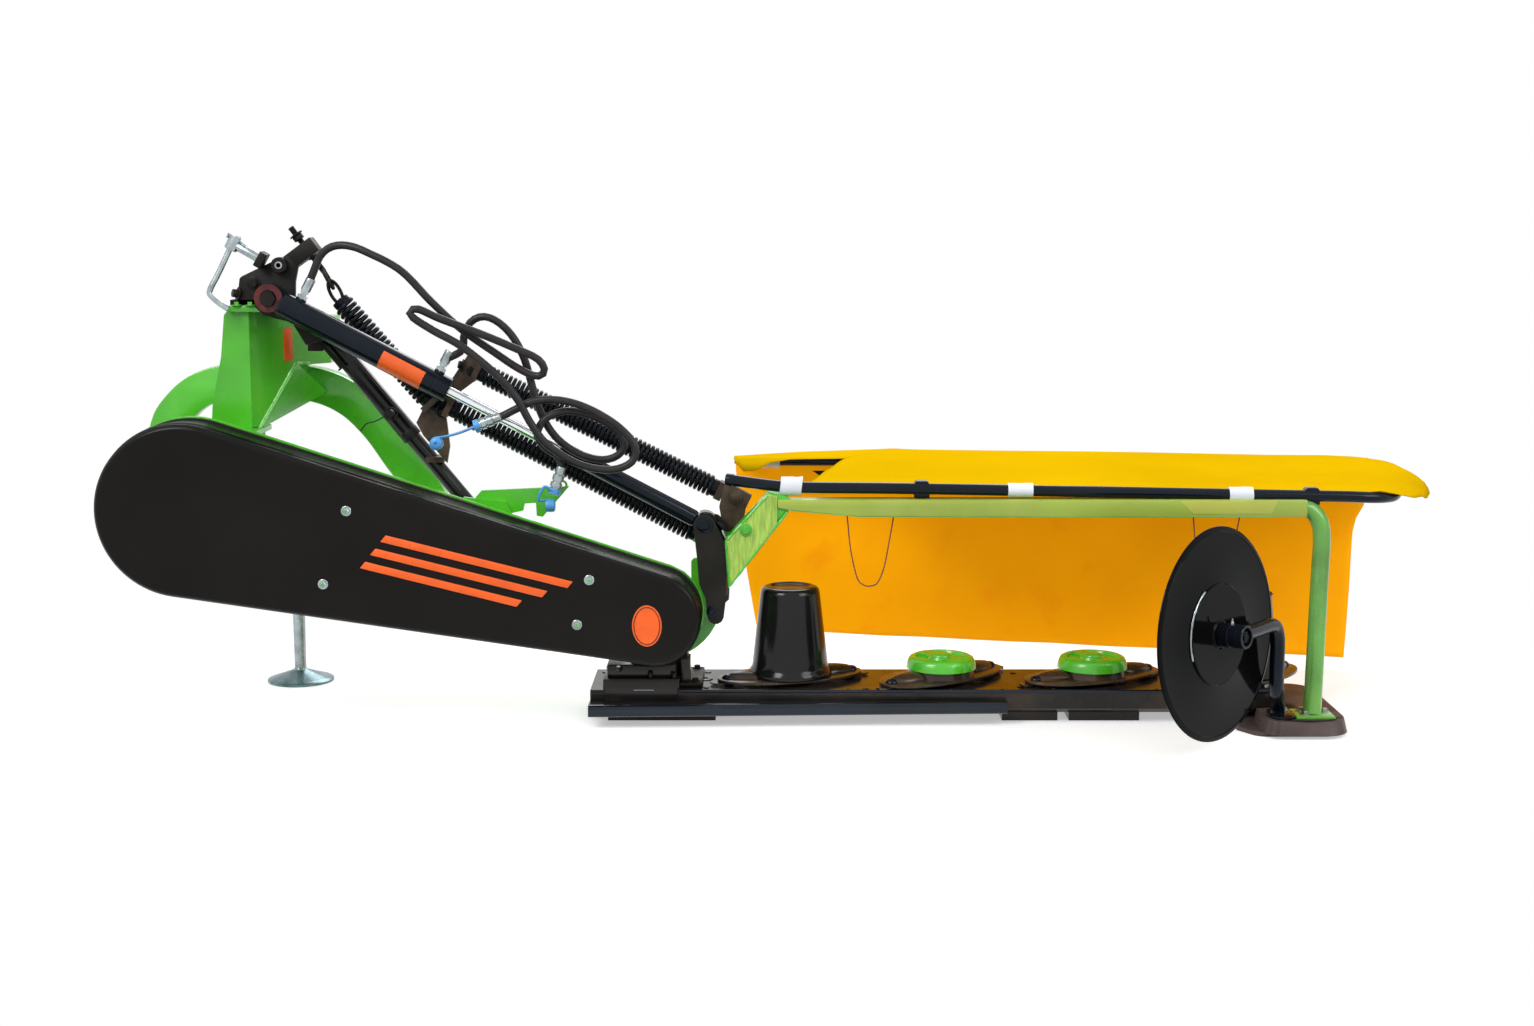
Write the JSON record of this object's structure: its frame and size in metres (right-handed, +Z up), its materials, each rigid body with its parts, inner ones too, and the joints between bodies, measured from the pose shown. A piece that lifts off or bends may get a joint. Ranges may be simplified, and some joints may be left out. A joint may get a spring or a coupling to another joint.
{
  "type": "disc mower",
  "caption": "Mounted side disc mower: hitch headstock, belt drive, hydraulic lift, sprung cutter bar with spinning discs, swath wheel and a hinged cloth guard.",
  "frame": {"origin": "bottom centre of the parking stand's foot", "axes": "+Y is the way the machine travels, +X runs outboard along the cutter bar, +Z is up"},
  "size_m": [3.793, 1.2075, 1.3167],
  "materials": {
    "green_paint": "glossy paint",
    "black_paint": "glossy paint",
    "brown_plate": "thin worn paint",
    "zinc": "zinc plated",
    "spring_steel": "satin black",
    "gear_steel": "machined",
    "belt_rubber": "matte",
    "hose_rubber": "satin",
    "tarp_yellow": "coated cloth",
    "curtain_orange": "coated cloth"
  },
  "bodies": {
    "headstock": {"headstock_bow": "green_paint", "headstock_tower": "green_paint", "kingpin": "zinc", "stand_clamp_screw": "zinc"},
    "stand": {"stand_leg": "zinc"},
    "swing_frame": {"swing_bracket": "black_paint", "main_beam": "green_paint", "strut_outer_tube": "black_paint", "strut_inner_tube": "black_paint", "spring_anchor": "brown_plate", "spring_adjuster": "zinc", "short_spring": "spring_steel", "belt_backplate": "green_paint", "belt_cover": "black_paint", "drive_belt": "belt_rubber"},
    "top_pin": {"top_link_pin": "zinc"},
    "hook": {"transport_hook": "green_paint"},
    "barrel": {"cylinder_barrel": "black_paint", "hose_1": "hose_rubber", "hose_2": "hose_rubber"},
    "rod": {"lift_rod": "black_paint"},
    "upper_balance_spring": {"upper_spring": "spring_steel"},
    "lower_balance_spring": {"lower_spring": "spring_steel"},
    "input_pulley": {"drive_pulley": "gear_steel"},
    "cutter_bar": {"gearbox_housing": "black_paint", "hinge_plate": "green_paint", "lift_link": "black_paint", "guard_arm": "green_paint", "guard_beam": "green_paint", "spring_bracket": "brown_plate", "bar_housing": "black_paint", "bar_lid": "black_paint", "rear_rail": "black_paint", "outer_shoe": "brown_plate", "swath_arm": "black_paint"},
    "output_pulley": {"driven_pulley": "gear_steel"},
    "gearbox_upright": {"upright_shaft": "gear_steel"},
    "long_shaft": {"bar_shaft": "gear_steel"},
    "disc_rotor_1": {"disc_1": "brown_plate", "disc_1_cone": "black_paint"},
    "disc_rotor_2": {"disc_2": "brown_plate", "disc_2_cap": "green_paint"},
    "disc_rotor_3": {"disc_3": "brown_plate", "disc_3_cap": "green_paint"},
    "disc_rotor_4": {"disc_4": "brown_plate", "disc_4_cone": "black_paint"},
    "swath_wheel": {"swath_disc": "black_paint"},
    "guard_frame": {"guard_tube": "black_paint", "guard_sheet": "tarp_yellow"},
    "curtain": {"guard_curtain": "curtain_orange"},
    "blade_1a": {"knife_1a": "gear_steel"},
    "blade_1b": {"knife_1b": "gear_steel"},
    "blade_2a": {"knife_2a": "gear_steel"},
    "blade_2b": {"knife_2b": "gear_steel"},
    "blade_3a": {"knife_3a": "gear_steel"},
    "blade_3b": {"knife_3b": "gear_steel"},
    "blade_4a": {"knife_4a": "gear_steel"},
    "blade_4b": {"knife_4b": "gear_steel"}
  },
  "joints": [
    {"name": "breakaway_swing", "type": "hinge", "parent": "headstock", "child": "swing_frame", "pos_m": [-0.045, -0.265, 0.9], "axis": [0, 0, -1], "range_deg": [0, 30]},
    {"name": "stand_slide", "type": "slide", "parent": "headstock", "child": "stand", "axis": [0, 0, 1], "range_m": [0, 0.16]},
    {"name": "top_link_pin_pull", "type": "slide", "parent": "swing_frame", "child": "top_pin", "axis": [-0.867, 0, 0.4983], "range_m": [0, 0.12]},
    {"name": "transport_latch", "type": "hinge", "parent": "swing_frame", "child": "hook", "pos_m": [0.612, -0.43, 0.572], "axis": [0, -1, 0], "range_deg": [0, 50]},
    {"name": "bar_lift", "type": "hinge", "parent": "swing_frame", "child": "cutter_bar", "pos_m": [1.064, -0.47, 0.309], "axis": [0, -1, 0], "range_deg": [-12, 80]},
    {"name": "cylinder_swing", "type": "hinge", "parent": "swing_frame", "child": "barrel", "pos_m": [0.036, -0.38, 1.128], "axis": [0, -1, 0], "range_deg": [-11.23, 2.53], "deforming": ["hose_1", "hose_2"]},
    {"name": "rod_slide", "type": "slide", "parent": "barrel", "child": "rod", "axis": [0.8847, 0, -0.4661], "range_m": [-0.2395, 0.0393]},
    {"name": "upper_spring_swing", "type": "hinge", "parent": "swing_frame", "child": "upper_balance_spring", "pos_m": [0.58, -0.295, 0.924], "axis": [0, -1, 0], "range_deg": [-36.12, 6.27], "deforming": ["upper_spring"]},
    {"name": "lower_spring_swing", "type": "hinge", "parent": "swing_frame", "child": "lower_balance_spring", "pos_m": [0.502, -0.295, 0.826], "axis": [0, -1, 0], "range_deg": [-17.07, 3.41], "deforming": ["lower_spring"]},
    {"name": "pto_spin", "type": "hinge", "parent": "swing_frame", "child": "input_pulley", "pos_m": [-0.149, -0.592, 0.594], "axis": [0, 1, 0], "continuous": true},
    {"name": "output_pulley_spin", "type": "hinge", "parent": "cutter_bar", "child": "output_pulley", "pos_m": [1.064, -0.592, 0.309], "axis": [0, 1, 0], "continuous": true},
    {"name": "upright_spin", "type": "hinge", "parent": "cutter_bar", "child": "gearbox_upright", "pos_m": [1.064, -0.385, 0.2], "axis": [0, 0, 1], "continuous": true},
    {"name": "long_shaft_spin", "type": "hinge", "parent": "cutter_bar", "child": "long_shaft", "pos_m": [1.5, -0.385, 0.043], "axis": [1, 0, 0], "continuous": true},
    {"name": "swath_wheel_spin", "type": "hinge", "parent": "cutter_bar", "child": "swath_wheel", "pos_m": [2.486, -0.828, 0.31], "axis": [0.7333, -0.6782, 0.0483], "continuous": true},
    {"name": "guard_fold", "type": "hinge", "parent": "cutter_bar", "child": "guard_frame", "pos_m": [2, -0.478, 0.626], "axis": [1, 0, 0], "range_deg": [0, 90]},
    {"name": "curtain_hang", "type": "hinge", "parent": "guard_frame", "child": "curtain", "pos_m": [2, 0.15, 0.626], "axis": [1, 0, 0], "range_deg": [-91, 1]},
    {"name": "disc_1_spin", "type": "hinge", "parent": "cutter_bar", "child": "disc_rotor_1", "pos_m": [1.421, -0.385, 0.1], "axis": [0, 0, 1], "continuous": true},
    {"name": "knife_1a_swing", "type": "hinge", "parent": "disc_rotor_1", "child": "blade_1a", "pos_m": [1.58743, -0.33092, 0.0977], "axis": [0, 0, 1], "continuous": true},
    {"name": "knife_1b_swing", "type": "hinge", "parent": "disc_rotor_1", "child": "blade_1b", "pos_m": [1.25456, -0.43908, 0.0977], "axis": [0, 0, 1], "continuous": true},
    {"name": "disc_2_spin", "type": "hinge", "parent": "cutter_bar", "child": "disc_rotor_2", "pos_m": [1.833, -0.385, 0.1], "axis": [0, 0, 1], "continuous": true},
    {"name": "knife_2a_swing", "type": "hinge", "parent": "disc_rotor_2", "child": "blade_2a", "pos_m": [1.97276, -0.27968, 0.0977], "axis": [0, 0, 1], "continuous": true},
    {"name": "knife_2b_swing", "type": "hinge", "parent": "disc_rotor_2", "child": "blade_2b", "pos_m": [1.69324, -0.49032, 0.0977], "axis": [0, 0, 1], "continuous": true},
    {"name": "disc_3_spin", "type": "hinge", "parent": "cutter_bar", "child": "disc_rotor_3", "pos_m": [2.245, -0.385, 0.1], "axis": [0, 0, 1], "continuous": true},
    {"name": "knife_3a_swing", "type": "hinge", "parent": "disc_rotor_3", "child": "blade_3a", "pos_m": [2.40487, -0.31382, 0.0977], "axis": [0, 0, 1], "continuous": true},
    {"name": "knife_3b_swing", "type": "hinge", "parent": "disc_rotor_3", "child": "blade_3b", "pos_m": [2.08513, -0.45618, 0.0977], "axis": [0, 0, 1], "continuous": true},
    {"name": "disc_4_spin", "type": "hinge", "parent": "cutter_bar", "child": "disc_rotor_4", "pos_m": [2.657, -0.385, 0.1], "axis": [0, 0, 1], "continuous": true},
    {"name": "knife_4a_swing", "type": "hinge", "parent": "disc_rotor_4", "child": "blade_4a", "pos_m": [2.79106, -0.27251, 0.0977], "axis": [0, 0, 1], "continuous": true},
    {"name": "knife_4b_swing", "type": "hinge", "parent": "disc_rotor_4", "child": "blade_4b", "pos_m": [2.52294, -0.49749, 0.0977], "axis": [0, 0, 1], "continuous": true}
  ],
  "couplings": [
    {"joint": "output_pulley_spin", "follows": "pto_spin", "ratio": 2.0541},
    {"joint": "upright_spin", "follows": "pto_spin", "ratio": -4.1081},
    {"joint": "long_shaft_spin", "follows": "pto_spin", "ratio": 6.6757},
    {"joint": "disc_1_spin", "follows": "pto_spin", "ratio": -5.9339},
    {"joint": "disc_2_spin", "follows": "pto_spin", "ratio": 5.9339},
    {"joint": "disc_3_spin", "follows": "pto_spin", "ratio": -5.9339},
    {"joint": "disc_4_spin", "follows": "pto_spin", "ratio": 5.9339},
    {"joint": "cylinder_swing", "follows": "bar_lift", "ratio": -0.1279},
    {"joint": "rod_slide", "follows": "bar_lift", "m_per_rad": -0.16868},
    {"joint": "upper_spring_swing", "follows": "bar_lift", "ratio": -0.43904},
    {"joint": "lower_spring_swing", "follows": "bar_lift", "ratio": -0.20085},
    {"joint": "curtain_hang", "follows": "guard_fold", "ratio": -1}
  ]
}
